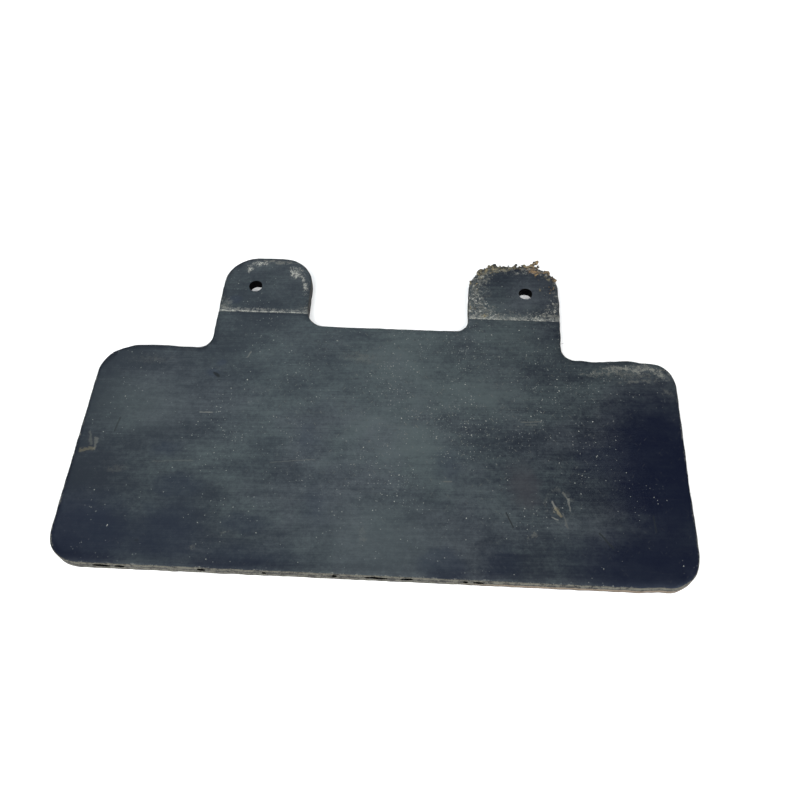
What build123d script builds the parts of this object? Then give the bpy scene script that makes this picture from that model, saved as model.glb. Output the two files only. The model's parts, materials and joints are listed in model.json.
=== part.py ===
from build123d import *
from math import radians, tan
import os

# A two-eared rubber mud flap, cut from one flat sheet of fabric-reinforced rubber.
#
# The sheet is three layers bonded face to face: a front rubber cover, a woven fabric ply and a
# rear rubber cover. A wide apron hangs below two ears, and each ear is bolted to the vehicle's
# bracket through one hole. The flap bends along the crease at the foot of both ears, where the
# bracket's lower edge clamps it.
#
# Frame, in millimetres: X runs across the flap, +Y up towards the ears, +Z out of the front
# face. The origin is on the rear face, midway between the two bolt holes.

# The apron, from its bottom edge up to its shoulders and to the edge between the ears.
body_width = 304.8
shoulder_height = 124.0
shoulder_drop = 16.0
bottom_corner_radius = 16.5
shoulder_corner_radius = 16.0

# The ears, above the edge between them, with the fillets where they grow out of the apron.
ear_height = 48.0
ear_width = 50.0
ear_corner_radius = 18.2
shoulder_fillet_radius = 6.5
middle_fillet_radius = 8.0

# The bolt holes, one in each ear. The ears stand where the holes put them.
bolt_spacing = 152.4
bolt_hole_diameter = 7.2
bolt_to_ear_top = 20.7
bolt_to_ear_outer_edge = 18.25

# The layers, from the rear face to the front face.
rear_cover_thickness = 3.55
fabric_ply_thickness = 0.6
front_cover_thickness = 2.2

# The crease that the flap bends along. The apron runs a little way up the ears before it, the
# flap bends this far each way, and the clearance keeps the ears and the apron apart then.
apron_rise = 7.0
flex_limit_degrees = 60.0
flex_clearance = 0.3

# The square ends of the ears and the apron meet on one face of the sheet when the apron turns
# about the crease, unless each stands back from it by this much.
sheet_thickness = rear_cover_thickness + fabric_ply_thickness + front_cover_thickness
half_crease = sheet_thickness / 2 * tan(radians(flex_limit_degrees / 2)) + flex_clearance

# Heights and half-widths that follow from the sizes above.
half_width = body_width / 2
ear_top_y = bolt_to_ear_top
middle_y = ear_top_y - ear_height
shoulder_y = middle_y - shoulder_drop
bottom_y = shoulder_y - shoulder_height
crease_y = middle_y + apron_rise + half_crease
ear_outer_x = bolt_spacing / 2 + bolt_to_ear_outer_edge
ear_inner_x = ear_outer_x - ear_width

# The whole outline of the sheet: one half with its rounded corners, mirrored, and two holes.
with BuildSketch() as outline:
    with BuildLine():
        FilletPolyline(
            (0, bottom_y),
            (half_width, bottom_y),
            (half_width, shoulder_y),
            (ear_outer_x, shoulder_y),
            (ear_outer_x, ear_top_y),
            (ear_inner_x, ear_top_y),
            (ear_inner_x, middle_y),
            (0, middle_y),
            radius=[
                bottom_corner_radius,
                shoulder_corner_radius,
                shoulder_fillet_radius,
                ear_corner_radius,
                ear_corner_radius,
                middle_fillet_radius,
            ],
        )
        mirror(about=Plane.YZ)
    make_face()
    with Locations((-bolt_spacing / 2, 0), (bolt_spacing / 2, 0)):
        Circle(bolt_hole_diameter / 2, mode=Mode.SUBTRACT)

# Each layer's name, the height of its lower face and its thickness.
layers = [
    ("rear_cover", 0, rear_cover_thickness),
    ("fabric_ply", rear_cover_thickness, fabric_ply_thickness),
    ("front_cover", rear_cover_thickness + fabric_ply_thickness, front_cover_thickness),
]

# Each region's name and the corners of the rectangle that takes it out of the outline. The
# creases are two short strips, one across the foot of each ear.
regions = [
    ("apron", (-half_width, bottom_y), (half_width, crease_y - half_crease)),
    ("creases", (-half_width, crease_y - half_crease), (half_width, crease_y + half_crease)),
    ("left_ear", (-half_width, crease_y + half_crease), (0, ear_top_y)),
    ("right_ear", (0, crease_y + half_crease), (half_width, ear_top_y)),
]


def cut_piece(height, thickness, low_corner, high_corner):
    """One layer's solid within one region of the outline, standing on the given height."""
    center = ((low_corner[0] + high_corner[0]) / 2, (low_corner[1] + high_corner[1]) / 2)
    with BuildPart() as piece:
        with BuildSketch(Plane.XY.offset(height)):
            add(outline.sketch)
            with Locations(center):
                Rectangle(
                    high_corner[0] - low_corner[0],
                    high_corner[1] - low_corner[1],
                    mode=Mode.INTERSECT,
                )
        extrude(amount=thickness)
    return piece


os.makedirs("parts", exist_ok=True)
for layer, height, thickness in layers:
    for region, low_corner, high_corner in regions:
        piece = cut_piece(height, thickness, low_corner, high_corner)
        piece.part.label = f"{layer}_{region}"
        export_step(piece.part, f"parts/{layer}_{region}.step")

print(f"sheet {sheet_thickness:.2f} mm thick, crease at y {crease_y:.2f}, half crease {half_crease:.3f}")
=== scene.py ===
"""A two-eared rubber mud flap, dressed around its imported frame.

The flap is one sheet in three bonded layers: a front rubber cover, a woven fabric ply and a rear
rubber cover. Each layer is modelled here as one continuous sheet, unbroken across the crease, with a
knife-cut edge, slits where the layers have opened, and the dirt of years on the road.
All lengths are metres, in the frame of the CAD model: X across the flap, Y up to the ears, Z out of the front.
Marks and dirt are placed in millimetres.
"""

import json
import logging
import math
import random
from contextlib import contextmanager
from dataclasses import dataclass, field
from enum import Enum
from typing import Callable, Iterator

import bmesh
import bpy
from mathutils import Euler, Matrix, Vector


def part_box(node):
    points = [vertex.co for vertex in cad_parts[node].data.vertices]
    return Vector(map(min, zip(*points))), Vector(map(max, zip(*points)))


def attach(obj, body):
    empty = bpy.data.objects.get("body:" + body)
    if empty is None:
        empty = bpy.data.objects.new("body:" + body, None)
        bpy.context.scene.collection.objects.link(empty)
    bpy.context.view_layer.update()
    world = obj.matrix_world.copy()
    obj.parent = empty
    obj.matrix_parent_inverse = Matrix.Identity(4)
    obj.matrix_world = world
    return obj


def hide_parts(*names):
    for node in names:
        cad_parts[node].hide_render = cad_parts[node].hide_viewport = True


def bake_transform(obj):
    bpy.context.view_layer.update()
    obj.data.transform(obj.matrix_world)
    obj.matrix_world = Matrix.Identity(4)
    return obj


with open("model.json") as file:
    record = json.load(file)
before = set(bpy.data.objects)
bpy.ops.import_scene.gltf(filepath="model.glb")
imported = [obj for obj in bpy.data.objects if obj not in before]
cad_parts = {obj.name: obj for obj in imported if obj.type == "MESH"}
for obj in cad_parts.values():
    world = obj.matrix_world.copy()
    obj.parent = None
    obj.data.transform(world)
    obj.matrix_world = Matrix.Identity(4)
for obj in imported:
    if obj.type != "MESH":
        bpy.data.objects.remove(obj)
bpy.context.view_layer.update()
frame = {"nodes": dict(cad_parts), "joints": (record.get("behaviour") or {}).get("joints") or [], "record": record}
log = logging.getLogger("mud_flap")

MM = 0.001
TOUCH = 0.01 * MM

Object = bpy.types.Object
Socket = bpy.types.NodeSocket
Material = bpy.types.Material
Tree = bpy.types.NodeTree
Pair = tuple[float, float]
Triple = tuple[float, float, float]


# ---------------------------------------------------------------- workbench


def deselect() -> None:
    """Leave nothing selected in the scene."""
    bpy.ops.object.select_all(action="DESELECT")


def activate(obj: Object) -> None:
    """Select one object alone and make it the active one.

    Args:
        obj: the object to work on.
    """
    deselect()
    obj.select_set(True)
    bpy.context.view_layer.objects.active = obj


@contextmanager
def editing(obj: Object) -> Iterator[None]:
    """Work on an object in edit mode with nothing selected at first.

    Args:
        obj: the mesh object to edit.

    Yields:
        Nothing; the work inside is done in edit mode.
    """
    activate(obj)
    bpy.ops.object.mode_set(mode="EDIT")
    bpy.ops.mesh.select_all(action="DESELECT")
    yield
    bpy.ops.object.mode_set(mode="OBJECT")


def pick_all() -> None:
    """Select the whole mesh in edit mode."""
    bpy.ops.mesh.select_all(action="SELECT")


def pick(obj: Object, kind: str, test: Callable[..., bool]) -> int:
    """Select what passes a test in the mesh in edit mode.

    Args:
        obj: the object being edited.
        kind: VERT, EDGE or FACE.
        test: says yes to a vertex, an edge or a face.

    Returns:
        How many were picked.
    """
    bpy.ops.mesh.select_mode(type=kind)
    bpy.ops.mesh.select_all(action="DESELECT")
    mesh = bmesh.from_edit_mesh(obj.data)
    parts = {"VERT": mesh.verts, "EDGE": mesh.edges, "FACE": mesh.faces}[kind]
    picked = [part for part in parts if test(part)]
    for part in picked:
        part.select_set(True)
    if kind == "VERT":
        mesh.select_flush_mode()
    bmesh.update_edit_mesh(obj.data)
    return len(picked)


def level_with(height: float, axis: int) -> Callable[[bmesh.types.BMEdge], bool]:
    """A test for edges that lie at one height along an axis."""
    return lambda edge: all(abs(v.co[axis] - height) < TOUCH for v in edge.verts)


def apply_modifier(obj: Object, kind: str, **settings: object) -> None:
    """Give an object a modifier with these settings and apply it.

    Args:
        obj: the object to finish.
        kind: the modifier's type.
        **settings: the modifier's own settings.
    """
    activate(obj)
    modifier = obj.modifiers.new(kind.title(), kind)
    for name, value in settings.items():
        setattr(modifier, name, value)
    bpy.ops.object.modifier_apply(modifier=modifier.name)


def roughen(obj: Object, name: str, grain: float, direction: str, strength: float, level: float) -> None:
    """Push a mesh in and out by soft clouds.

    Args:
        obj: the mesh.
        name: what the clouds are called.
        grain: their size, in metres.
        direction: the way the mesh moves.
        strength: how far, in metres.
        level: the shade of cloud that moves nothing.
    """
    clouds = bpy.data.textures.get(name) or bpy.data.textures.new(name, "CLOUDS")
    clouds.noise_scale = grain
    settings = {"texture": clouds, "texture_coords": "LOCAL", "direction": direction}
    apply_modifier(obj, "DISPLACE", strength=strength, mid_level=level, **settings)


def cut_away(obj: Object, tools: list[Object]) -> None:
    """Cut the shapes of some tools out of an object, and put the tools away.

    Args:
        obj: the object.
        tools: the cutting shapes.
    """
    tool = joined(tools)
    apply_modifier(obj, "BOOLEAN", operation="DIFFERENCE", object=tool, solver="EXACT")
    bpy.data.objects.remove(tool)


def settle(obj: Object, name: str) -> Object:
    """Apply an object's place, so that it sits at the origin, and name it.

    Args:
        obj: the object to settle.
        name: the piece's name.

    Returns:
        The same object.
    """
    activate(obj)
    bpy.ops.object.transform_apply(location=True, rotation=True, scale=True)
    obj.name = name
    obj.data.name = name
    return obj


def copy_of(obj: Object) -> Object:
    """A copy of an object with a mesh of its own.

    Args:
        obj: the object to copy.

    Returns:
        The copy.
    """
    twin = obj.copy()
    twin.data = obj.data.copy()
    bpy.context.scene.collection.objects.link(twin)
    return twin


def joined(parts: list[Object]) -> Object:
    """Several mesh objects made one.

    Args:
        parts: the objects to join.

    Returns:
        The joined object.
    """
    deselect()
    for part in parts:
        part.select_set(True)
    bpy.context.view_layer.objects.active = parts[0]
    bpy.ops.object.join()
    return parts[0]


def ready_to_dress(obj: Object, *materials: Material) -> None:
    """Give a finished mesh its materials and write each point's place on the flap as laid flat.

    The finishes read that place, so a mark stays where it is on the rubber at any bend.

    Args:
        obj: the finished mesh.
        *materials: the materials it starts with.
    """
    flat = obj.data.attributes.new(LAID_FLAT, "FLOAT_VECTOR", "POINT")
    places = [0.0] * (3 * len(obj.data.vertices))
    obj.data.vertices.foreach_get("co", places)
    flat.data.foreach_set("vector", places)
    obj.data.materials.clear()
    for material in materials:
        obj.data.materials.append(material)


def finish_faces(obj: Object, material: Material, test: Callable[[bmesh.types.BMFace], bool]) -> None:
    """Give the faces that pass a test a material of their own.

    Args:
        obj: the object to dress.
        material: the material.
        test: says yes to a face.
    """
    obj.data.materials.append(material)
    with editing(obj):
        pick(obj, "FACE", test)
        obj.active_material_index = len(obj.data.materials) - 1
        bpy.ops.object.material_slot_assign()


# ---------------------------------------------------------------- shader pen


class Pen:
    """Draws shader nodes in a tree, so that a finish reads as sums and mixes."""

    def __init__(self, tree: Tree) -> None:
        """Take up a tree and clear it."""
        self.tree = tree
        self.tree.nodes.clear()

    def node(self, kind: str, **settings: object) -> bpy.types.Node:
        """Add a node with these settings.

        Args:
            kind: the node's type, without the ShaderNode that they all start with.
            **settings: the node's own settings.

        Returns:
            The node.
        """
        made = self.tree.nodes.new(kind if kind.startswith("NodeGroup") else "ShaderNode" + kind)
        for name, value in settings.items():
            setattr(made, name, value)
        return made

    def feed(self, socket: Socket, value: object) -> None:
        """Link an output to a socket, or set a plain value on it.

        Args:
            socket: the input socket.
            value: an output socket, a number, a colour or a vector.
        """
        if isinstance(value, Socket):
            self.tree.links.new(value, socket)
        elif socket.type == "VECTOR" and isinstance(value, (int, float)):
            socket.default_value = (value,) * 3
        elif socket.type == "RGBA" and len(value) == 3:
            socket.default_value = (*value, 1.0)
        else:
            socket.default_value = value

    def fed(self, kind: str, inputs: dict[str | int, object], **settings: object) -> bpy.types.Node:
        """Add a node and feed some of its inputs.

        Args:
            kind: the node's type.
            inputs: what goes into each input, by its name or number.
            **settings: the node's own settings.

        Returns:
            The node.
        """
        made = self.node(kind, **settings)
        for name, value in inputs.items():
            self.feed(made.inputs[name], value)
        return made

    def sum(self, operation: str, *terms: object, clamp: bool = False) -> Socket:
        """One step of arithmetic.

        Args:
            operation: the Math node's operation.
            *terms: its inputs in order.
            clamp: whether the result is kept from 0 to 1.

        Returns:
            The result's socket.
        """
        return self.fed("Math", dict(enumerate(terms)), operation=operation, use_clamp=clamp).outputs[0]

    def times(self, first: object, *others: object) -> Socket:
        """Several numbers multiplied."""
        for other in others:
            first = self.sum("MULTIPLY", first, other)
        return first

    def scaled(self, value: object, scale: object, plus: object, clamp: bool = False) -> Socket:
        """A number scaled and then added to another."""
        return self.sum("MULTIPLY_ADD", value, scale, plus, clamp=clamp)

    def vector(self, operation: str, *terms: object) -> Socket:
        """One step of vector arithmetic.

        Args:
            operation: the Vector Math node's operation.
            *terms: its inputs in order.

        Returns:
            The result's socket.
        """
        made = self.fed("VectorMath", dict(enumerate(terms)), operation=operation)
        return made.outputs["Value"] if operation in ("LENGTH", "DOT_PRODUCT") else made.outputs[0]

    def ramp(self, value: object, low: object, high: object) -> Socket:
        """A smooth step from 0 where a value is low to 1 where it is high."""
        inputs = {"Value": value, "From Min": low, "From Max": high}
        return self.fed("MapRange", inputs, interpolation_type="SMOOTHSTEP").outputs["Result"]

    def mix(self, factor: object, under: object, over: object) -> Socket:
        """One colour laid over another.

        Args:
            factor: how much of the upper colour shows.
            under: the lower colour.
            over: the upper colour.

        Returns:
            The mixed colour's socket.
        """
        made = self.node("Mix", data_type="RGBA")
        for name, term in (("Factor_Float", factor), ("A_Color", under), ("B_Color", over)):
            self.feed(next(s for s in made.inputs if s.identifier == name), term)
        return next(s for s in made.outputs if s.identifier == "Result_Color")

    def noise(self, place: object, scale: float, detail: float = 3.0, roughness: float = 0.5) -> Socket:
        """Soft noise.

        Args:
            place: the coordinates it reads.
            scale: its fineness, in waves to the metre.
            detail: how many finer layers it has.
            roughness: how strong they are.

        Returns:
            The noise's value.
        """
        inputs = {"Vector": place, "Scale": scale, "Detail": detail, "Roughness": roughness}
        return self.fed("TexNoise", inputs).outputs["Fac"]

    def warped(self, place: object, scale: float, reach: object) -> Socket:
        """Coordinates pushed about by noise.

        Args:
            place: the coordinates to change.
            scale: the noise's fineness, in waves to the metre.
            reach: how far they are pushed, in metres.

        Returns:
            The new coordinates.
        """
        colour = self.fed("TexNoise", {"Vector": place, "Scale": scale}).outputs["Color"]
        return self.vector("ADD", place, self.vector("MULTIPLY", self.vector("SUBTRACT", colour, 0.5), reach))

    def cells(self, place: object, scale: float = 1.0, dimensions: str = "2D") -> dict[str, Socket]:
        """Scattered cells, each with a place and a colour of its own."""
        inputs = {"Scale": scale, "Vector": place}
        return self.fed("TexVoronoi", inputs, voronoi_dimensions=dimensions).outputs

    def turned(self, place: object, angle: object) -> Socket:
        """Coordinates turned about Z by an angle in radians."""
        inputs = {"Vector": place, "Angle": angle}
        return self.fed("VectorRotate", inputs, rotation_type="Z_AXIS").outputs["Vector"]

    def axis(self, place: object, name: str) -> Socket:
        """One coordinate out of three: X, Y or Z."""
        return self.fed("SeparateXYZ", {0: place}).outputs[name]

    def parts(self, colour: object) -> dict[str, Socket]:
        """A colour taken apart."""
        return self.fed("SeparateColor", {"Color": colour}).outputs

    def place(self, group: Tree, **settings: object) -> dict[str, Socket]:
        """Place a shader group and give its outputs; the settings are its inputs, by name."""
        inputs = {name.capitalize(): value for name, value in settings.items()}
        return self.fed("Group", inputs, node_tree=group).outputs


# ---------------------------------------------------------------- shared effects

ORIGIN: Triple = (0.0, 0.0, 0.0)
FLAT: Triple = (1.0, 1.0, 0.0)
LAID_FLAT = "laid_flat"


def on_face(place: Pair, z: float = 0.0) -> Triple:
    """A place or a reach on the face, given in millimetres, as the groups take it."""
    return place[0] * MM, place[1] * MM, z


def open_group(name: str, outlets: tuple[str, ...], **inlets: object) -> tuple[Pen, dict, dict]:
    """Start a shader group with named sockets, the first of them its place.

    Args:
        name: the group's name.
        outlets: the outputs' names.
        **inlets: each input's name and usual value.

    Returns:
        A pen in the group, the group's inputs and its outputs.
    """
    tree = bpy.data.node_groups.new(name, "ShaderNodeTree")
    for label, value in {"Place": ORIGIN, **inlets}.items():
        kind = "NodeSocketVector" if isinstance(value, tuple) else "NodeSocketFloat"
        tree.interface.new_socket(name=label, in_out="INPUT", socket_type=kind).default_value = value
    for label in outlets:
        tree.interface.new_socket(name=label, in_out="OUTPUT", socket_type="NodeSocketFloat")
    pen = Pen(tree)
    return pen, pen.node("NodeGroupInput").outputs, pen.node("NodeGroupOutput").inputs


class Effects:
    """The shader groups that the finishes share, each built once."""

    def __init__(self) -> None:
        """Build every group."""
        self.crumble = self._crumble()
        self.smudge = self._smudge()
        self.stroke = self._stroke()
        self.ring = self._ring()
        self.frame = self._frame()
        self.flecks = self._flecks()
        self.scratches = self._scratches()
        self.streaks = self._streaks()

    def _crumble(self) -> Tree:
        """Breaks a smooth cover of dust into crumbs and bare spots.

        Returns:
            The group.
        """
        pen, inlet, outlet = open_group("crumble", ("Mask",), Cover=0.5, Fineness=1.0)
        place = pen.vector("MULTIPLY", inlet["Place"], inlet["Fineness"])
        rough = inlet["Cover"]
        for crumbs, height in ((pen.noise(place, 300, 5, 0.75), 3.6), (pen.noise(place, 1300, 2, 0.7), 2.2)):
            rough = pen.scaled(pen.sum("SUBTRACT", crumbs, 0.5), height, rough)
        pen.feed(outlet["Mask"], pen.times(pen.ramp(rough, 0.45, 1.1), pen.ramp(inlet["Cover"], 0.0, 0.3)))
        return pen.tree

    def _smudge(self) -> Tree:
        """A soft oval patch with a ragged edge.

        Returns:
            The group.
        """
        inlets = {"Centre": ORIGIN, "Reach": (0.01, 0.01, 1.0), "Turn": 0.0, "Ragged": 0.002, "Core": 0.4}
        pen, inlet, outlet = open_group("smudge", ("Mask",), **inlets)
        arm = pen.vector("SUBTRACT", pen.warped(inlet["Place"], 160, inlet["Ragged"]), inlet["Centre"])
        arm = pen.turned(arm, pen.times(inlet["Turn"], -1.0))
        share = pen.vector("MULTIPLY", pen.vector("DIVIDE", arm, inlet["Reach"]), FLAT)
        pen.feed(outlet["Mask"], pen.ramp(pen.vector("LENGTH", share), 1.0, inlet["Core"]))
        return pen.tree

    def _stroke(self) -> Tree:
        """A stroke from one point to another.

        Returns:
            The group.
        """
        inlets = {"Start": ORIGIN, "End": (0.01, 0.0, 0.0), "Width": 0.0005, "Ragged": 0.0005}
        pen, inlet, outlet = open_group("stroke", ("Mask",), **inlets)
        arm = pen.vector("SUBTRACT", pen.warped(inlet["Place"], 500, inlet["Ragged"]), inlet["Start"])
        arm = pen.vector("MULTIPLY", arm, FLAT)
        run = pen.vector("SUBTRACT", inlet["End"], inlet["Start"])
        square = pen.sum("MAXIMUM", pen.vector("DOT_PRODUCT", run, run), 1e-9)
        share = pen.sum("DIVIDE", pen.vector("DOT_PRODUCT", arm, run), square, clamp=True)
        gap = pen.vector("LENGTH", pen.vector("SUBTRACT", arm, pen.vector("MULTIPLY", run, share)))
        pen.feed(outlet["Mask"], pen.ramp(gap, inlet["Width"], pen.times(inlet["Width"], 0.3)))
        return pen.tree

    def _ring(self) -> Tree:
        """A broken ring.

        Returns:
            The group.
        """
        inlets = {"Centre": ORIGIN, "Reach": (0.005, 0.005, 1.0), "Width": 0.15, "Ragged": 0.004}
        pen, inlet, outlet = open_group("ring", ("Mask",), **inlets)
        arm = pen.vector("SUBTRACT", pen.warped(inlet["Place"], 260, inlet["Ragged"]), inlet["Centre"])
        share = pen.vector("LENGTH", pen.vector("MULTIPLY", pen.vector("DIVIDE", arm, inlet["Reach"]), FLAT))
        gap = pen.sum("ABSOLUTE", pen.sum("SUBTRACT", share, 1.0))
        broken = pen.ramp(pen.noise(inlet["Place"], 260, 3, 0.7), 0.42, 0.62)
        pen.feed(outlet["Mask"], pen.times(pen.ramp(gap, inlet["Width"], 0.0), broken))
        return pen.tree

    def _frame(self) -> Tree:
        """How far a point is outside a box with rounded corners.

        Returns:
            The group.
        """
        inlets = {"Centre": ORIGIN, "Half": (0.01, 0.01, 0.0), "Radius": 0.005, "Ragged": 0.0}
        pen, inlet, outlet = open_group("frame", ("Outside",), **inlets)
        arm = pen.vector("SUBTRACT", pen.warped(inlet["Place"], 120, inlet["Ragged"]), inlet["Centre"])
        over = pen.vector("SUBTRACT", pen.vector("ABSOLUTE", arm), inlet["Half"])
        over = pen.vector("MAXIMUM", pen.vector("ADD", over, inlet["Radius"]), ORIGIN)
        reach = pen.vector("LENGTH", pen.vector("MULTIPLY", over, FLAT))
        pen.feed(outlet["Outside"], pen.sum("SUBTRACT", reach, inlet["Radius"]))
        return pen.tree

    def _flecks(self) -> Tree:
        """Small scattered specks of different sizes.

        Returns:
            The group.
        """
        pen, inlet, outlet = open_group("flecks", ("Mask", "Shade"), Spacing=0.004, Size=0.1, Amount=0.5)
        cells = pen.cells(pen.vector("DIVIDE", pen.warped(inlet["Place"], 900, 0.0006), inlet["Spacing"]))
        chance = pen.parts(cells["Color"])
        size = pen.times(inlet["Size"], pen.scaled(chance["Green"], 0.9, 0.35))
        dot = pen.ramp(cells["Distance"], size, pen.times(size, 0.45))
        pen.feed(outlet["Mask"], pen.times(dot, pen.sum("LESS_THAN", chance["Red"], inlet["Amount"])))
        pen.feed(outlet["Shade"], chance["Blue"])
        return pen.tree

    def _scratches(self) -> Tree:
        """Short scratches that lie roughly one way.

        Returns:
            The group.
        """
        inlets = {"Turn": 0.0, "Length": 0.012, "Lane": 0.006, "Width": 0.0002, "Amount": 0.5}
        pen, inlet, outlet = open_group("scratches", ("Mask", "Shade"), **inlets)
        turned = pen.turned(pen.warped(inlet["Place"], 45, 0.004), inlet["Turn"])
        pitch = pen.fed("CombineXYZ", {"X": inlet["Length"], "Y": inlet["Lane"], "Z": 1.0}).outputs["Vector"]
        spot = pen.vector("DIVIDE", turned, pitch)
        cells = pen.cells(spot)
        gap = pen.vector("ABSOLUTE", pen.vector("SUBTRACT", spot, cells["Position"]))
        chance = pen.parts(cells["Color"])
        reach = pen.scaled(chance["Green"], 0.25, 0.12)
        along = pen.ramp(pen.axis(gap, "X"), reach, pen.times(reach, 0.5))
        across = pen.ramp(pen.times(pen.axis(gap, "Y"), inlet["Lane"]), inlet["Width"], 0.0)
        kept = pen.sum("LESS_THAN", chance["Red"], inlet["Amount"])
        pen.feed(outlet["Mask"], pen.times(along, across, kept))
        pen.feed(outlet["Shade"], chance["Blue"])
        return pen.tree

    def _streaks(self) -> Tree:
        """The hair-thin streaks that the calender rolls leave across the sheet.

        Returns:
            The group.
        """
        pen, inlet, outlet = open_group("streaks", ("Lines", "Height"))
        inputs = {"Vector": pen.warped(inlet["Place"], 12, 0.004), "Rotation": (0.0, 0.0, math.radians(1.5))}
        place = pen.fed("Mapping", inputs, vector_type="TEXTURE").outputs["Vector"]
        broad = pen.noise(pen.vector("MULTIPLY", place, (14.0, 420.0, 1.0)), 1.0, 3, 0.6)
        thin = pen.noise(pen.vector("MULTIPLY", place, (26.0, 1500.0, 1.0)), 1.0, 2, 0.6)
        both = pen.scaled(thin, 0.5, pen.times(broad, 0.5))
        grit = pen.noise(inlet["Place"], 2600, 2, 0.6)
        pen.feed(outlet["Lines"], pen.ramp(both, 0.38, 0.64))
        pen.feed(outlet["Height"], pen.scaled(grit, 0.5, pen.times(both, 0.5)))
        return pen.tree


class Coat:
    """One finish in the making: its material, its pen, and what has been laid so far."""

    def __init__(self, name: str, fx: Effects) -> None:
        """Start a material.

        Args:
            name: the finish's name.
            fx: the shared effects.
        """
        self.fx = fx
        self.material = bpy.data.materials.new(name)
        self.material.use_nodes = True
        self.pen = Pen(self.material.node_tree)
        self.shader = self.pen.node("BsdfPrincipled")
        self.pen.fed("OutputMaterial", {"Surface": self.shader.outputs["BSDF"]})
        self.place = self.pen.node("Attribute", attribute_name=LAID_FLAT).outputs["Vector"]
        self.colour: object = ORIGIN
        self.pale: object = 0.0

    def use(self, group: Tree, outlet: str = "Mask", **settings: object) -> Socket:
        """One output of a shared effect, placed on the flap with these inputs."""
        return self.pen.place(group, place=self.place, **settings)[outlet]

    def lay(self, mask: object, colour: Triple) -> None:
        """Lay a colour where a mask says, and remember where it is pale.

        Args:
            mask: where it lies, from 0 to 1.
            colour: the colour.
        """
        self.colour = self.pen.mix(mask, self.colour, colour)
        self.pale = self.pen.sum("MAXIMUM", self.pale, mask)

    def crumbs(self, cover: object, fineness: float) -> Socket:
        """A cover broken into crumbs."""
        return self.use(self.fx.crumble, cover=cover, fineness=fineness)

    def noise(self, scale: float, detail: float, roughness: float, stretch: Triple | None = None) -> Socket:
        """Noise over the flap, stretched or not."""
        place = self.pen.vector("MULTIPLY", self.place, stretch) if stretch else self.place
        return self.pen.noise(place, scale, detail, roughness)

    def step(self, axis: str, low: float, high: float) -> Socket:
        """A smooth step along one axis of the flap."""
        return self.pen.ramp(self.pen.axis(self.place, axis), low, high)

    def finish(self, rough: object, height: object = None, depth: float = 0.0) -> Material:
        """Put what has been laid on the shader.

        Args:
            rough: the roughness.
            height: the height map of its bumps, from 0 to 1.
            depth: how high 1 stands, in metres.

        Returns:
            The material.
        """
        self.pen.feed(self.shader.inputs["Base Color"], self.colour)
        self.pen.feed(self.shader.inputs["Roughness"], rough)
        if height is not None:
            bump = self.pen.fed("Bump", {"Strength": 1.0, "Distance": depth, "Height": height})
            self.pen.feed(self.shader.inputs["Normal"], bump.outputs["Normal"])
        return self.material


# ---------------------------------------------------------------- marks


class Dirt(Enum):
    """What a mark is made of: its colour."""

    LIME = (0.30, 0.30, 0.27)
    HAZE = (0.046, 0.058, 0.060)
    CHALK = (0.13, 0.13, 0.115)
    DUST = (0.070, 0.070, 0.062)
    SOIL = (0.130, 0.112, 0.068)
    RUST = (0.180, 0.112, 0.052)
    BRUISE = (0.0165, 0.0145, 0.0185)
    # Dark blue-black patches: damp stains, and painted shade where the face is darker towards the right and the
    # bottom.
    WET_AND_SHADE = (0.0009, 0.0016, 0.0085)
    TAR = (0.0008, 0.0008, 0.001)


@dataclass(frozen=True)
class Mark:
    """A mark on the face; every length is in millimetres."""

    dirt: Dirt

    def touches(self, x: Pair, y: Pair) -> bool:
        """Whether it reaches into a box, given by its lowest and highest X and Y."""
        x0, x1, y0, y1 = self.span()
        return x0 < x[1] and x1 > x[0] and y0 < y[1] and y1 > y[0]


@dataclass(frozen=True)
class Smudge(Mark):
    """A soft patch, with its turn in degrees."""

    x: float
    y: float
    reach: Pair
    turn: float = 0.0
    strength: float = 0.6
    ragged: float = 3.0
    core: float = 0.4
    crumbly: bool = False

    def span(self) -> tuple[float, ...]:
        """The lowest and highest X and Y that it touches."""
        reach = max(self.reach) + self.ragged
        return self.x - reach, self.x + reach, self.y - reach, self.y + reach

    def mask(self, coat: Coat) -> Socket:
        """Where the patch lies.

        Args:
            coat: the finish it goes on.

        Returns:
            Its cover, from 0 to 1.
        """
        centre, reach = on_face((self.x, self.y)), on_face(self.reach, 1.0)
        edge = {"turn": math.radians(self.turn), "ragged": self.ragged * MM, "core": self.core}
        spot = coat.use(coat.fx.smudge, centre=centre, reach=reach, **edge)
        if self.crumbly:
            spot = coat.crumbs(coat.pen.times(spot, 0.8), 1.5)
        return coat.pen.times(spot, self.strength)


@dataclass(frozen=True)
class Stroke(Mark):
    """A thin stroke from one point to another."""

    start: Pair
    end: Pair
    width: float = 0.45
    strength: float = 0.8
    ragged: float = 0.6

    def span(self) -> tuple[float, ...]:
        """The lowest and highest X and Y that it touches."""
        (x0, x1), (y0, y1) = map(sorted, zip(self.start, self.end))
        return x0 - 1, x1 + 1, y0 - 1, y1 + 1

    def mask(self, coat: Coat) -> Socket:
        """Where the stroke lies.

        Args:
            coat: the finish it goes on.

        Returns:
            Its cover, from 0 to 1.
        """
        ends = {"start": on_face(self.start), "end": on_face(self.end)}
        line = coat.use(coat.fx.stroke, width=self.width * MM, ragged=self.ragged * MM, **ends)
        return coat.pen.times(line, self.strength)


@dataclass(frozen=True)
class Ring(Mark):
    """A broken ring rubbed into the face; its width is a share of its reach."""

    x: float
    y: float
    reach: Pair
    width: float = 0.1
    strength: float = 0.5

    def span(self) -> tuple[float, ...]:
        """The lowest and highest X and Y that it touches."""
        reach = 1.5 * max(self.reach)
        return self.x - reach, self.x + reach, self.y - reach, self.y + reach

    def mask(self, coat: Coat) -> Socket:
        """Where the ring lies, from 0 to 1."""
        shape = {"centre": on_face((self.x, self.y)), "reach": on_face(self.reach, 1.0), "width": self.width}
        return coat.pen.times(coat.use(coat.fx.ring, **shape), self.strength)


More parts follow.
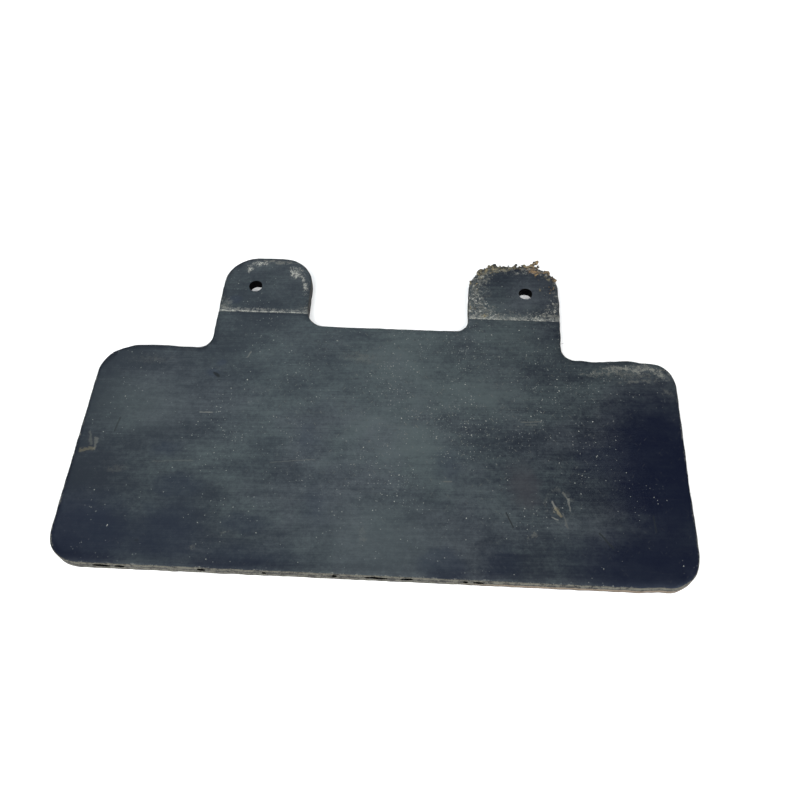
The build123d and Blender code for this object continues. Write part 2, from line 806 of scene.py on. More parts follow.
def several(kind: type[Mark], dirt: Dirt, *rows: tuple, **shared: object) -> tuple[Mark, ...]:
    """Several marks of one kind and dirt, one from each row of sizes."""
    return tuple(kind(dirt, *row, **shared) for row in rows)


ROAD_MARKS: tuple[Mark, ...] = (
    Smudge(Dirt.HAZE, -126, -80, (40, 26), -6, 0.4, 14, 0.0),
    Smudge(Dirt.HAZE, 4, -150, (48, 34), 0, 0.42, 14, 0.0),
    # Dark blue-black patches: the large ones at the right and along the bottom are mostly painted shade, the small
    # ones damp stains.
    *several(
        Smudge,
        Dirt.WET_AND_SHADE,
        (142, -108, (38, 62), 4, 0.9, 16, 0.35),
        (134, -160, (58, 28), -6, 0.85, 12, 0.3),
        (-138, -152, (46, 30), -12, 0.75, 12, 0.2),
        (-97, -152, (26, 26), 0, 0.6, 9, 0.2),
        (-60, -163, (40, 14), 0, 0.45, 9, 0.1),
        (34.7, -161, (14, 11), -4, 0.5, 7, 0.6),
        (62, -158, (14, 12), 30, 0.4, 9, 0.3),
        (-106.5, -106, (11, 7), 0, 0.4, 9, 0.1),
        (-96, -126, (16, 10), 0, 0.4, 8),
        (-61, -144, (16, 7), 0, 0.35, 7),
        (-27, -134, (10, 18), 0, 0.3, 12, 0.1),
        (-36, -97, (9, 14), 0, 0.3, 12, 0.1),
        (35.7, -109, (10, 15), 10, 0.35, 12, 0.1),
        (110, -103, (20, 16), -20, 0.55, 12, 0.2),
        (-86.5, -10, (6, 4.5), 10, 0.55, 3),
        (-90, -59.5, (5, 3.5), -20, 0.5, 2),
        (-87, -53, (3.4, 2.4), 20, 0.5, 2),
    ),
    Smudge(Dirt.BRUISE, 72.5, -119, (11, 19), 12, 0.6, 10, 0.2),
    Smudge(Dirt.TAR, -88.2, -60.6, (3.2, 1.3), -38, 0.9, 1.0, 0.5),
    Smudge(Dirt.TAR, -110, -155, (1.4, 0.9), 0, 0.5, 1),
    *several(
        Stroke,
        Dirt.TAR,
        ((-133.4, -89), (-134.6, -97), 0.6, 0.55),
        ((64.0, -133.0), (67.2, -140.3), 0.45, 0.8),
        ((107.5, -141.5), (113.2, -148.6), 0.7, 0.85),
        ((133.2, -131.5), (133.8, -139.5), 0.45, 0.8),
    ),
    Ring(Dirt.DUST, 89.4, -128.2, (6.6, 8.2), 0.22, 0.22),
    Stroke(Dirt.DUST, (91.0, -121.5), (93.9, -124.6), 0.65, 0.6, 2.2),
    Stroke(Dirt.CHALK, (93.9, -124.6), (94.0, -130.4), 0.65, 0.42, 2.2),
    Stroke(Dirt.CHALK, (86.0, -126.6), (87.4, -129.6), 0.8, 0.6, 2.4),
    Stroke(Dirt.SOIL, (87.4, -129.6), (89.8, -133.6), 0.75, 0.5, 2.4),
    Stroke(Dirt.CHALK, (85.6, -134.4), (88.2, -135.6), 0.5, 0.6, 1.4),
    Stroke(Dirt.DUST, (90.5, -132.0), (92.5, -139.0), 0.6, 0.45, 2.4),
    Smudge(Dirt.SOIL, 88.0, -131, (3.5, 4.0), 0, 0.35, 2, 0.2, True),
    Stroke(Dirt.CHALK, (-142.8, -101.6), (-142.4, -107.2), 1.4, 0.32, 3.6),
    Stroke(Dirt.SOIL, (-142.6, -107.4), (-149.2, -108.4), 1.3, 0.34, 3.6),
    *several(
        Stroke,
        Dirt.DUST,
        ((-147.2, -97.6), (-144.6, -105.2), 0.9, 0.4, 2.4),
        ((-111.4, -113.3), (-91.4, -111.9), 0.32, 0.4, 1.2),
        ((-52.3, -111.2), (-30.6, -108.6), 0.30, 0.42, 1.2),
    ),
    Stroke(Dirt.CHALK, (-92.5, -84.1), (-86.4, -83.6), 0.50, 0.5, 1.2),
    Stroke(Dirt.CHALK, (-73.6, -49.0), (-71.8, -45.0), 0.50, 0.4, 1.2),
    *several(
        Stroke,
        Dirt.DUST,
        ((71.8, -82.9), (82.0, -82.1), 0.45, 0.6, 1.4),
        ((74.0, -84.4), (80.0, -84.1), 0.3, 0.6, 0.5),
        ((34.0, -117.9), (37.6, -117.8), 0.5, 0.6, 0.3),
    ),
    *several(
        Smudge,
        Dirt.DUST,
        (76.5, -144, (5.5, 2.6), 45, 0.45, 2, 0.2),
        (-3.5, -148, (3.0, 9.0), 6, 0.35, 3, 0.2),
        (-83, -157, (3.0, 2.4), 0, 0.6, 2, 0.2),
        (-68.5, -149, (3.6, 1.0), 20, 0.55, 1, 0.3),
        (-12, -47, (20, 7), -4, 0.35, 8, 0.1),
        (-128, -118, (10, 3.0), 8, 0.25, 4, 0.2),
        crumbly=True,
    ),
)

SHOULDER_DUST: tuple[Mark, ...] = (
    Smudge(Dirt.DUST, 126, -51, (31, 7.5), 0, 0.6, 9, 0.1, True),
    *several(
        Smudge,
        Dirt.CHALK,
        (111, -51.5, (13, 2.8), 8, 0.4, 6, 0.1),
        (122, -48.4, (14, 3.2), -6, 0.6, 6, 0.1),
        (134, -48.0, (15, 4.0), -3, 0.8, 6, 0.2),
        (144, -50.5, (9, 4.6), -38, 0.75, 5, 0.2),
        crumbly=True,
    ),
    *several(
        Smudge,
        Dirt.DUST,
        (134, -56, (20, 2.2), 6, 0.6, 6, 0.1),
        (147, -62, (6, 4.0), -20, 0.45, 5, 0.1),
        (-125, -52, (22, 5), 4, 0.25, 6, 0.1),
        crumbly=True,
    ),
)

EAR_MARKS: tuple[Mark, ...] = (
    *several(
        Smudge,
        Dirt.LIME,
        (-76.0, 16.4, (9.5, 3.6), 6, 0.95, 4, 0.0),
        (-81.4, 12.6, (4.0, 5.0), -20, 0.9, 3, 0.0),
        (-54.4, 10.4, (9.5, 6.5), -38, 0.9, 5, 0.0),
        (-47.6, 1.6, (4.2, 13.0), 10, 0.6, 4, 0.0),
        crumbly=True,
    ),
    Smudge(Dirt.CHALK, -64, 18.0, (23, 2.8), -3, 0.6, 3, 0.1, True),
    Smudge(Dirt.CHALK, -90, -12, (5, 7), 0, 0.35, 4, 0.1, True),
    Smudge(Dirt.SOIL, 62.0, 17.0, (9.5, 2.6), 8, 0.95, 2.5, 0.45, True),
    Smudge(Dirt.SOIL, 52.5, 12.6, (5.5, 2.4), 48, 0.8, 2.5, 0.35, True),
    Smudge(Dirt.RUST, 81.2, 16.4, (7.0, 3.0), -18, 0.95, 2.5, 0.45, True),
    Smudge(Dirt.SOIL, 88.5, 12.2, (3.6, 2.0), -40, 0.8, 2, 0.4, True),
    Smudge(Dirt.SOIL, 84.6, 3.4, (1.0, 2.6), 10, 0.75, 1.5, 0.3, True),
    Smudge(Dirt.CHALK, 91.2, -6.4, (0.9, 0.8), 0, 0.9, 0.5, 0.5),
    Smudge(Dirt.SOIL, 53.2, -16.4, (4.2, 1.6), 24, 0.85, 1.5, 0.3, True),
)


@dataclass(frozen=True)
class Border:
    """A box with rounded corners that dirt gathers round; every length is in millimetres."""

    centre: Pair
    half: Pair
    radius: float
    ragged: float

    def outside(self, coat: Coat) -> Socket:
        """How far a point is outside it, in metres."""
        box = {"centre": on_face(self.centre), "half": on_face(self.half), "radius": self.radius * MM}
        return coat.use(coat.fx.frame, "Outside", ragged=self.ragged * MM, **box)


@dataclass(frozen=True)
class EarDirt:
    """The dirt that the bracket held on an ear: a border round a cleaner middle, and a line at the crease."""

    border: Border
    width: float
    strength: float
    crease: tuple[Pair, Pair]


@dataclass(frozen=True)
class Region:
    """One part of the front face, with its own finish: its lowest and highest X and Y, in millimetres."""

    name: str
    x: Pair
    y: Pair
    ear: EarDirt | None = None

    def holds(self, place: Vector) -> bool:
        """Whether a place on the face lies in it."""
        return self.x[0] <= place.x / MM < self.x[1] and self.y[0] <= place.y / MM < self.y[1]

    def marks(self) -> tuple[Mark, ...]:
        """The marks that touch it."""
        return tuple(m for m in ROAD_MARKS + SHOULDER_DUST + EAR_MARKS if m.touches(self.x, self.y))


APRON_RIM = Border((0.0, -105.3), (152.4, 62.0), 16.5, 0.6)
LEFT_EAR = Border((-69.5, 1.0), (23.5, 17.5), 16.0, 8.0)
RIGHT_EAR = Border((73.0, 0.5), (15.0, 10.5), 9.0, 8.0)
LEFT_EAR_DIRT = EarDirt(LEFT_EAR, 6.0, 0.45, ((-92.5, -17.6), (-44.5, -18.1)))
RIGHT_EAR_DIRT = EarDirt(RIGHT_EAR, 9.0, 0.95, ((45.2, -18.2), (94.2, -18.6)))
LEFT, RIGHT = (-200, 0), (0, 200)
APRON_BAND, EAR_BAND = (-200, -27), (-27, 200)
FRONT_REGIONS = (
    Region("front_left_ear", LEFT, EAR_BAND, LEFT_EAR_DIRT),
    Region("front_right_ear", RIGHT, EAR_BAND, RIGHT_EAR_DIRT),
    Region("front_left", LEFT, APRON_BAND),
    Region("front_right", RIGHT, APRON_BAND),
)
# A broad lighter middle: rubbed bloom, and painted sheen where the face catches the most light.
BLOOM_AND_SHEEN_MIDDLE = {"centre": on_face((-6, -90)), "reach": on_face((170, 160), 1.0), "core": 0.05}
SCUFFED_TOP = {"centre": on_face((20, -70)), "reach": on_face((140, 100), 1.0), "core": 0.1}


# ---------------------------------------------------------------- finishes


class Finish:
    """A finish made of shader nodes; each kind of surface mixes its own."""

    name: str

    def material(self, fx: Effects) -> Material:
        """The finish as a material."""
        return self.mixed(Coat(self.name, fx))


@dataclass(frozen=True)
class RubberFace(Finish):
    """The calendered face of a cover: dark rubber with a grey bloom, specks, scratches and road dirt."""

    name: str
    marks: tuple[Mark, ...] = ()
    ear: EarDirt | None = None
    clean: Triple = (0.0020, 0.0029, 0.0082)
    bloom: Triple = (0.034, 0.043, 0.045)
    tint: Triple = (0.84, 0.97, 1.0)
    damp: Triple = (0.66, 0.80, 1.0)
    mauve: Triple = (0.036, 0.041, 0.047)
    speck: Triple = (0.24, 0.25, 0.23)
    gloss: float = 0.43
    shine: float = 0.38
    grain: float = 0.02 * MM

    def mixed(self, coat: Coat) -> Material:
        """Mix the finish: bloom, dark damp patches that are partly painted shade, specks, then dirt.

        Args:
            coat: the finish in the making.

        Returns:
            The material.
        """
        pen = coat.pen
        streaks = pen.place(coat.fx.streaks, place=coat.place)
        hue = pen.ramp(pen.noise(pen.vector("ADD", coat.place, 0.3), 15, 4, 0.6), 0.42, 0.62)
        bloom = pen.mix(hue, self.bloom, self.mauve)
        coat.colour = pen.mix(self._bloom(coat, streaks["Lines"]), self.clean, bloom)
        wet_and_shade: object = 0.0
        # Lay the dark patches first: damp stains, partly painted shade.
        for mark in self.marks:
            if mark.dirt is Dirt.WET_AND_SHADE:
                mask = mark.mask(coat)
                coat.colour = pen.mix(mask, coat.colour, mark.dirt.value)
                wet_and_shade = pen.sum("MAXIMUM", wet_and_shade, mask)
        self._specks(coat)
        for mark in self.marks:
            if mark.dirt is not Dirt.WET_AND_SHADE:
                coat.lay(mark.mask(coat), mark.dirt.value)
        if self.ear:
            self._ear_dirt(coat)
        elif self.marks:
            self._rim_dust_and_highlight(coat)
        # Under the dark patches the reflections turn bluer and the rubber glossier.
        pen.feed(coat.shader.inputs["Specular Tint"], pen.mix(wet_and_shade, self.tint, self.damp))
        coat.shader.inputs["Specular IOR Level"].default_value = self.shine
        rough = pen.scaled(wet_and_shade, -0.13, pen.scaled(coat.noise(70, 4, 0.6), 0.16, self.gloss - 0.08))
        return coat.finish(pen.scaled(coat.pale, 0.3, rough, clamp=True), streaks["Height"], self.grain)

    def _bloom(self, coat: Coat, lines: object) -> Socket:
        """How thick the grey bloom lies: clouds, streaks, grain and a lighter middle that is rubbed bloom and
        painted sheen.

        Args:
            coat: the finish in the making.
            lines: the calender's streaks.

        Returns:
            The bloom's cover, from 0 to 1.
        """
        pen = coat.pen
        billows = pen.vector("MULTIPLY", pen.warped(coat.place, 40, 0.008), (0.65, 1.2, 1.0))
        total = pen.scaled(pen.noise(billows, 32, 7, 0.7), 3.1, pen.times(coat.noise(9, 2, 0.5), 1.1))
        # Painted sheen as well as bloom: the face is made lighter in the middle.
        middle = coat.use(coat.fx.smudge, **BLOOM_AND_SHEEN_MIDDLE)
        for layer, weight in ((lines, 0.28), (coat.noise(520, 4, 0.8), 1.7), (middle, 0.62)):
            total = pen.scaled(layer, weight, total)
        return pen.ramp(total, 2.68, 4.36)

    def _specks(self, coat: Coat) -> None:
        """Lay specks and fine scratches, most of them on the upper half.

        Args:
            coat: the finish in the making.
        """
        pen = coat.pen
        upper = coat.use(coat.fx.smudge, **SCUFFED_TOP)
        crowd = pen.times(pen.ramp(coat.noise(30, 4, 0.7), 0.40, 0.66), pen.scaled(upper, 0.75, 0.25))
        for spacing, size, amount, strength in (
            (0.0036, 0.080, 0.68, 1.1),
            (0.0016, 0.16, 0.84, 0.7),
            (0.009, 0.040, 0.8, 1.5),
        ):
            inputs = {"spacing": spacing, "size": size, "amount": pen.times(crowd, amount)}
            dots = pen.place(coat.fx.flecks, place=coat.place, **inputs)
            shade = pen.times(dots["Shade"], strength)
            coat.lay(pen.sum("MULTIPLY", dots["Mask"], shade, clamp=True), self.speck)
        for turn, length, lane, amount, strength in (
            (0.05, 0.045, 0.0050, 0.40, 0.30),
            (-0.10, 0.014, 0.0050, 0.45, 0.35),
            (0.9, 0.0040, 0.0055, 0.45, 1.1),
            (2.2, 0.0036, 0.0060, 0.45, 1.1),
        ):
            inputs = {"turn": turn, "length": length, "lane": lane, "width": 0.00022, "amount": amount}
            lines = pen.place(coat.fx.scratches, place=coat.place, **inputs)
            mask = pen.times(lines["Mask"], pen.times(lines["Shade"], strength))
            coat.lay(pen.times(mask, pen.scaled(upper, 0.9, 0.16)), Dirt.DUST.value)

    def _rim_dust_and_highlight(self, coat: Coat) -> None:
        """Lay the thin pale line along the apron's rim: dust, and a painted highlight at the edge.

        Args:
            coat: the finish in the making.
        """
        pen = coat.pen
        # A pale band just inside the outline: dust and painted highlight.
        near = pen.ramp(APRON_RIM.outside(coat), -1.5 * MM, -0.2 * MM)
        cover = pen.times(near, coat.step("Y", -44 * MM, -48 * MM), 0.52)
        coat.lay(pen.times(coat.crumbs(cover, 1.3), 0.75), Dirt.CHALK.value)

    def _ear_dirt(self, coat: Coat) -> None:
        """Lay the dirt that the bracket held on an ear.

        Args:
            coat: the finish in the making.
        """
        pen, ear = coat.pen, self.ear
        above = coat.step("Y", -19.2 * MM, -18.0 * MM)
        cover = pen.times(pen.ramp(ear.border.outside(coat), -2 * MM, ear.width * MM), above)
        for dirt, amount, fineness in ((Dirt.DUST, 0.62, 1.0), (Dirt.LIME, 0.34, 1.9)):
            coat.lay(pen.times(coat.crumbs(pen.times(cover, amount), fineness), ear.strength), dirt.value)
        ends = {"start": on_face(ear.crease[0]), "end": on_face(ear.crease[1]), "ragged": 1.2 * MM}
        for width, strength, fineness in ((0.55, 0.8, 2.2), (3.5, 0.26, 1.6)):
            line = coat.use(coat.fx.stroke, width=width * MM, **ends)
            broken = coat.crumbs(pen.times(line, above, 0.78), fineness)
            coat.lay(pen.times(broken, strength), Dirt.LIME.value)


@dataclass(frozen=True)
class CutEdge(Finish):
    """The knife-cut edge: grey dusty rubber, torn along the top, with a tan band at the right."""

    name: str = "cut_edge"
    rubber: Triple = (0.006, 0.0065, 0.007)
    dust: Triple = (0.098, 0.096, 0.078)
    tan: Triple = (0.185, 0.140, 0.098)
    # Brown foot: mud, and painted contact shadow along the floor.
    brown: Triple = (0.018, 0.012, 0.010)
    shine: float = 0.25
    seam_height: float = 4.2 * MM
    roughness: float = 0.25 * MM

    def mixed(self, coat: Coat) -> Material:
        """Mix the finish: dust, the tan band, the brown foot of mud and painted contact shadow, then the dark seam
        of the ply.

        Args:
            coat: the finish in the making.

        Returns:
            The material.
        """
        pen = coat.pen
        height = pen.axis(coat.place, "Z")
        wander = pen.scaled(pen.sum("SUBTRACT", coat.noise(120, 4, 0.6), 0.5), 1.6 * MM, height)
        low = coat.step("Y", -0.120, -0.160)
        right = pen.times(coat.step("X", 0.035, 0.075), pen.scaled(low, 0.8, 0.2))
        patchy = coat.noise(90, 5, 0.65)
        cover = pen.scaled(low, 0.95, pen.scaled(patchy, 0.5, -0.25))
        coat.colour = self.rubber
        coat.lay(coat.crumbs(cover, 1.2), self.dust)
        band = pen.times(pen.ramp(wander, 0.8 * MM, 1.3 * MM), pen.ramp(wander, 3.7 * MM, 3.1 * MM))
        coat.lay(pen.times(band, right, 0.85), self.tan)
        # The brown foot: mud, and a painted contact shadow along the bottom of the edge, strongest at the right.
        coat.lay(pen.times(pen.ramp(wander, 1.6 * MM, 0.9 * MM), pen.scaled(right, 0.8, 0.2)), self.brown)
        torn = pen.ramp(coat.noise(210, 4, 0.75, (1.0, 1.0, 0.2)), 0.46, 0.60)
        gap = pen.scaled(torn, 1.3 * MM, 0.4 * MM)
        off_seam = pen.sum("ABSOLUTE", pen.sum("SUBTRACT", wander, self.seam_height))
        coat.lay(pen.times(pen.ramp(off_seam, gap, pen.times(gap, 0.6)), 0.85), Dirt.TAR.value)
        coat.shader.inputs["Specular IOR Level"].default_value = self.shine
        height = coat.noise(700, 4, 0.7, (1.0, 1.0, 2.5))
        return coat.finish(pen.scaled(patchy, 0.3, 0.6), height, self.roughness)

    @classmethod
    def plain(cls, name: str, rubber: Triple, dust: Triple, shine: float) -> "CutEdge":
        """The edge without its tan band and brown foot, in two colours."""
        return cls(name, rubber, dust, dust, rubber, shine)


@dataclass(frozen=True)
class WovenPly(Finish):
    """Cotton threads soaked with rubber, seen on edge."""

    name: str = "woven_ply"
    thread: Triple = (0.060, 0.048, 0.036)
    rubber: Triple = (0.006, 0.006, 0.007)

    def mixed(self, coat: Coat) -> Material:
        """Mix the finish: thread ends where the rubber has worn off them.

        Args:
            coat: the finish in the making.

        Returns:
            The material.
        """
        pen = coat.pen
        ends = pen.ramp(pen.cells(coat.place, 1400.0, "3D")["Distance"], 0.55, 0.25)
        frayed = pen.ramp(coat.noise(160, 3, 0.6), 0.45, 0.65)
        coat.colour = pen.mix(pen.times(ends, frayed), self.rubber, self.thread)
        return coat.finish(pen.scaled(frayed, 0.2, 0.75), ends, 0.15 * MM)


@dataclass(frozen=True)
class Crust(Finish):
    """Rust scale and baked soil: yellow-brown to the left, dark in the middle, orange to the right."""

    name: str = "crust"
    soil: Triple = (0.120, 0.102, 0.058)
    dark: Triple = (0.009, 0.009, 0.008)
    rust: Triple = (0.175, 0.118, 0.056)
    dust: Triple = (0.20, 0.18, 0.13)

    def mixed(self, coat: Coat) -> Material:
        """Mix the finish: soil turning to rust, dark between the grains, dust on top.

        Args:
            coat: the finish in the making.

        Returns:
            The material.
        """
        pen = coat.pen
        grains = coat.noise(520, 4, 0.7)
        middle = pen.times(coat.step("X", 0.062, 0.067), coat.step("X", 0.079, 0.074))
        shade = pen.scaled(middle, 0.35, pen.ramp(grains, 0.60, 0.40), clamp=True)
        coat.colour = pen.mix(coat.step("X", 0.072, 0.084), self.soil, self.rust)
        coat.lay(shade, self.dark)
        coat.lay(pen.ramp(coat.noise(900, 3, 0.6), 0.56, 0.70), self.dust)
        return coat.finish(pen.scaled(grains, 0.2, 0.75), grains, 0.4 * MM)


@dataclass(frozen=True)
class FrayedThread(Finish):
    """Short frayed ends of the ply's threads."""

    name: str = "frayed_thread"
    pale: Triple = (0.16, 0.15, 0.13)
    grey: Triple = (0.03, 0.028, 0.025)

    def mixed(self, coat: Coat) -> Material:
        """Mix the finish: pale threads greyed in patches.

        Args:
            coat: the finish in the making.

        Returns:
            The material.
        """
        worn = coat.noise(900, 3, 0.6)
        coat.colour = coat.pen.mix(coat.pen.ramp(worn, 0.35, 0.65), self.grey, self.pale)
        return coat.finish(coat.pen.scaled(worn, 0.2, 0.75))


# ---------------------------------------------------------------- sizes


@dataclass(frozen=True)
class Corner:
    """A corner of the outline: its place and the radius it is rounded to."""

    x: float
    y: float
    radius: float


@dataclass(frozen=True)
class EdgeWear:
    """A place where the knife or the road took the edge in or left it proud."""

    x: float
    y: float
    push: Pair
    reach: float


@dataclass(frozen=True)
class Plan:
    """The flap's plan, read from the CAD nodes and finished with the cutter's own small errors."""

    half_width: float
    bottom: float
    shoulder: float
    middle: float
    ear_top: float
    ear_outer: float
    ear_inner: float
    crease: float
    bolt_x: float
    bolt_radius: float
    ear_width: float = 50.0 * MM
    shoulder_drop: float = 16.0 * MM
    ear_height: float = 48.0 * MM

    @classmethod
    def from_frame(cls) -> "Plan":
        """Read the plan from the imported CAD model.

        Returns:
            The plan.
        """
        apron_low, apron_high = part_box("front_cover_apron")
        ear_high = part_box("front_cover_right_ear")[1]
        bolts = next(m for m in frame["record"]["mounts"] if m["name"] == "ear_bolts")
        middle = ear_high.y - cls.ear_height
        return cls(
            half_width=apron_high.x,
            bottom=apron_low.y,
            shoulder=middle - cls.shoulder_drop,
            middle=middle,
            ear_top=ear_high.y,
            ear_outer=ear_high.x,
            ear_inner=ear_high.x - cls.ear_width,
            crease=frame["joints"][0]["pos_m"][1],
            bolt_x=bolts["dims"]["spacing_x_mm"] / 2 * MM,
            bolt_radius=bolts["dims"]["hole_r_mm"] * MM,
        )

    def corners(self) -> list[Corner]:
        """The twelve corners as cut, each a little off the drawing.

        Returns:
            The corners, anticlockwise from the bottom left.
        """
        slip = 0.6 * MM
        return [
            Corner(-self.half_width, self.bottom, 15.8 * MM),
            Corner(self.half_width, self.bottom, 17.4 * MM),
            Corner(self.half_width, self.shoulder, 14.0 * MM),
            Corner(self.ear_outer, self.shoulder - slip, 7.0 * MM),
            Corner(self.ear_outer, self.ear_top - 2 * slip, 16.6 * MM),
            Corner(self.ear_inner, self.ear_top - 2 * slip, 18.0 * MM),
            Corner(self.ear_inner, self.middle, 7.0 * MM),
            Corner(-self.ear_inner, self.middle + slip, 10.4 * MM),
            Corner(-self.ear_inner, self.ear_top, 18.4 * MM),
            Corner(-self.ear_outer, self.ear_top, 18.3 * MM),
            Corner(-self.ear_outer, self.shoulder, 7.4 * MM),
            Corner(-self.half_width, self.shoulder + slip, 19.2 * MM),
        ]

    def wear(self) -> list[EdgeWear]:
        """The places along the edge that are visibly out of line.

        Returns:
            The places and how far each is pushed.
        """
        return [
            EdgeWear(self.half_width - 40 * MM, self.shoulder, (0, -0.7 * MM), 9 * MM),
            EdgeWear(self.half_width - 24 * MM, self.shoulder, (0, 0.5 * MM), 7 * MM),
            EdgeWear(self.half_width - 14 * MM, self.shoulder, (0, -0.9 * MM), 8 * MM),
            EdgeWear(-self.half_width + 31 * MM, self.shoulder, (0, 0.4 * MM), 14 * MM),
            EdgeWear(-self.half_width + 11 * MM, self.shoulder, (0.3 * MM, -0.6 * MM), 8 * MM),
            EdgeWear(self.half_width, self.bottom + 52 * MM, (-0.35 * MM, 0), 16 * MM),
            EdgeWear(self.half_width, self.bottom + 103 * MM, (0.4 * MM, 0), 12 * MM),
            EdgeWear(self.half_width - 19 * MM, self.bottom, (0, 0.6 * MM), 9 * MM),
            EdgeWear(self.half_width - 5 * MM, self.bottom + 6 * MM, (0.5 * MM, 0), 7 * MM),
            EdgeWear(self.ear_outer, self.middle + 20 * MM, (0.3 * MM, 0), 6 * MM),
            EdgeWear(self.ear_outer, self.middle - 6 * MM, (-0.25 * MM, 0), 7 * MM),
            EdgeWear(self.ear_inner, self.middle + 21 * MM, (-0.3 * MM, 0), 8 * MM),
        ]


class Layer(Enum):
    """The three bonded layers of the sheet."""

    FRONT_COVER = "front_cover"
    FABRIC_PLY = "fabric_ply"
    REAR_COVER = "rear_cover"

    @property
    def nodes(self) -> list[str]:
        """The CAD nodes that this layer is cut into."""
        return [n for n in frame["nodes"] if n.startswith(self.value)]

    @property
    def span(self) -> Pair:
        """The heights of the layer's lower and upper faces."""
        low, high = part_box(f"{self.value}_apron")
        return low.z, high.z

    @property
    def slot(self) -> str:
        """The layer's name with cover turned to rubber, as the name of a material slot."""
        return self.value.replace("cover", "rubber")


# ---------------------------------------------------------------- the sheet


@dataclass
class Sheet:
    """The rubber sheet: the blank that the knife cut, and the three layers in it."""

    plan: Plan
    corner_steps: int = 14
    longest_step: float = 2.0 * MM
    knife_wander: float = 0.22 * MM
    bend_reach: float = 10.0 * MM
    bend_step: float = 1.0 * MM
    grid_step: float = 6.0 * MM
    worn_arris: float = 0.35 * MM
    punch_flare: float = 0.9 * MM
    ply_setback: float = 0.3 * MM
    slits: tuple[Pair, ...] = (
        *((-124.6, 9), (-115.9, 5), (-77.4, 4), (-47.9, 2), (-15.2, 2.5)),
        *((4.1, 11), (18.3, 6), (45.2, 2.5), (51.1, 5)),
    )
    slit_height: float = 4.15 * MM
    slit_depth: float = 2.4 * MM
    slit_gape: float = 1.45 * MM
    press: float = 0.22 * MM
    unevenness: float = 0.5 * MM
    unevenness_span: float = 55.0 * MM
    clearance: float = 2.0 * MM
    smooth_below: float = math.radians(30)
    face_tilt: float = 0.97
    wall_tilt: float = 0.25
    # Painted shade: near black for the shade inside the bolt holes.
    bore_painted_shade: Triple = (0.0007, 0.0008, 0.0010)
    # Painted shade: near black for the shade inside the open slits.
    slit_painted_shade: Triple = (0.0006, 0.0006, 0.0007)
    arris_grey: Triple = (0.022, 0.022, 0.020)
    # Pale arris colour: dust, and a painted highlight along the worn edges.
    arris_dust_and_highlight: Triple = (0.085, 0.082, 0.066)
    pieces: dict[Layer, Object] = field(default_factory=dict)

    def blank(self) -> Object:
        """The flat blank: a rectangle with two ears drawn out, its corners rounded and its edge cut by hand.

        Returns:
            A single face with a wavering outline, at height 0.
        """
        plan = self.plan
        corners = plan.corners()
        deselect()
        bpy.ops.mesh.primitive_plane_add(size=2, location=(0, (plan.bottom + plan.shoulder) / 2, 0))
        obj = bpy.context.active_object
        obj.scale = (plan.half_width, (plan.shoulder - plan.bottom) / 2, 1)
        settle(obj, "blank")
        with editing(obj):
            for x in (-plan.ear_outer, -plan.ear_inner, plan.ear_inner, plan.ear_outer):
                self._cut_across((x, 0, 0), (1, 0, 0))
            self._draw_out(obj, plan.shoulder, 0.0, plan.middle)
            self._draw_out(obj, plan.middle, plan.ear_inner, plan.ear_top)
            pick_all()
            bpy.ops.mesh.remove_doubles(threshold=TOUCH)
            bpy.ops.mesh.dissolve_limited(angle_limit=math.radians(5))
            self._move_corners(obj, corners)
            for corner in corners:
                pick(obj, "VERT", lambda v: (v.co.xy - Vector((corner.x, corner.y))).length < 10 * TOUCH)
                bpy.ops.mesh.bevel(offset=corner.radius, segments=self.corner_steps, affect="VERTICES")
            while pick(obj, "EDGE", lambda e: e.calc_length() > self.longest_step):
                bpy.ops.mesh.subdivide(number_cuts=1)
            pick_all()
            bpy.ops.transform.vertex_random(offset=self.knife_wander, uniform=1.0, seed=11)
            bpy.ops.transform.resize(value=(1, 1, 0), center_override=(0, 0, 0))
            bpy.ops.mesh.vertices_smooth(factor=0.5, repeat=2)
            for wear in plan.wear():
                self._push_edge(obj, wear)
        return obj

    def _draw_out(self, obj: Object, height: float, inside: float, to: float) -> None:
        """Draw the top edges between two widths up to a new height.

        Args:
            obj: the blank in edit mode.
            height: the height of the edges to draw out.
            inside: how far from the middle they start.
            to: the height they are drawn up to.
        """
        level = level_with(height, 1)
        outer = self.plan.ear_outer + TOUCH

        def between(edge: bmesh.types.BMEdge) -> bool:
            """Whether an edge lies between the two widths."""
            xs = [v.co.x for v in edge.verts]
            return abs(sum(xs) / 2) > inside - TOUCH and all(abs(x) < outer for x in xs)

        pick(obj, "EDGE", lambda e: level(e) and between(e))
        bpy.ops.mesh.extrude_edges_move(TRANSFORM_OT_translate={"value": (0, to - height, 0)})

    def _move_corners(self, obj: Object, corners: list[Corner]) -> None:
        """Move each drawn corner to where the knife put it.

        Args:
            obj: the blank in edit mode.
            corners: the corners as cut.
        """
        mesh = bmesh.from_edit_mesh(obj.data)
        for corner in corners:
            nearest = min(mesh.verts, key=lambda v: (v.co.xy - Vector((corner.x, corner.y))).length)
            nearest.co.xy = (corner.x, corner.y)
        bmesh.update_edit_mesh(obj.data)

    def _push_edge(self, obj: Object, wear: EdgeWear) -> None:
        """Push a short stretch of the edge in or out.

        Args:
            obj: the blank in edit mode.
            wear: where, how far and over what reach.
        """
        mesh = bmesh.from_edit_mesh(obj.data)
        spot = Vector((wear.x, wear.y))
        nearest = min((v.co.copy() for v in mesh.verts), key=lambda co: (co.xy - spot).length)
        pick(obj, "VERT", lambda v: (v.co - nearest).length < TOUCH)
        bpy.ops.transform.translate(
            value=(*wear.push, 0),
            use_proportional_edit=True,
            proportional_edit_falloff="SMOOTH",
            proportional_size=wear.reach,
        )

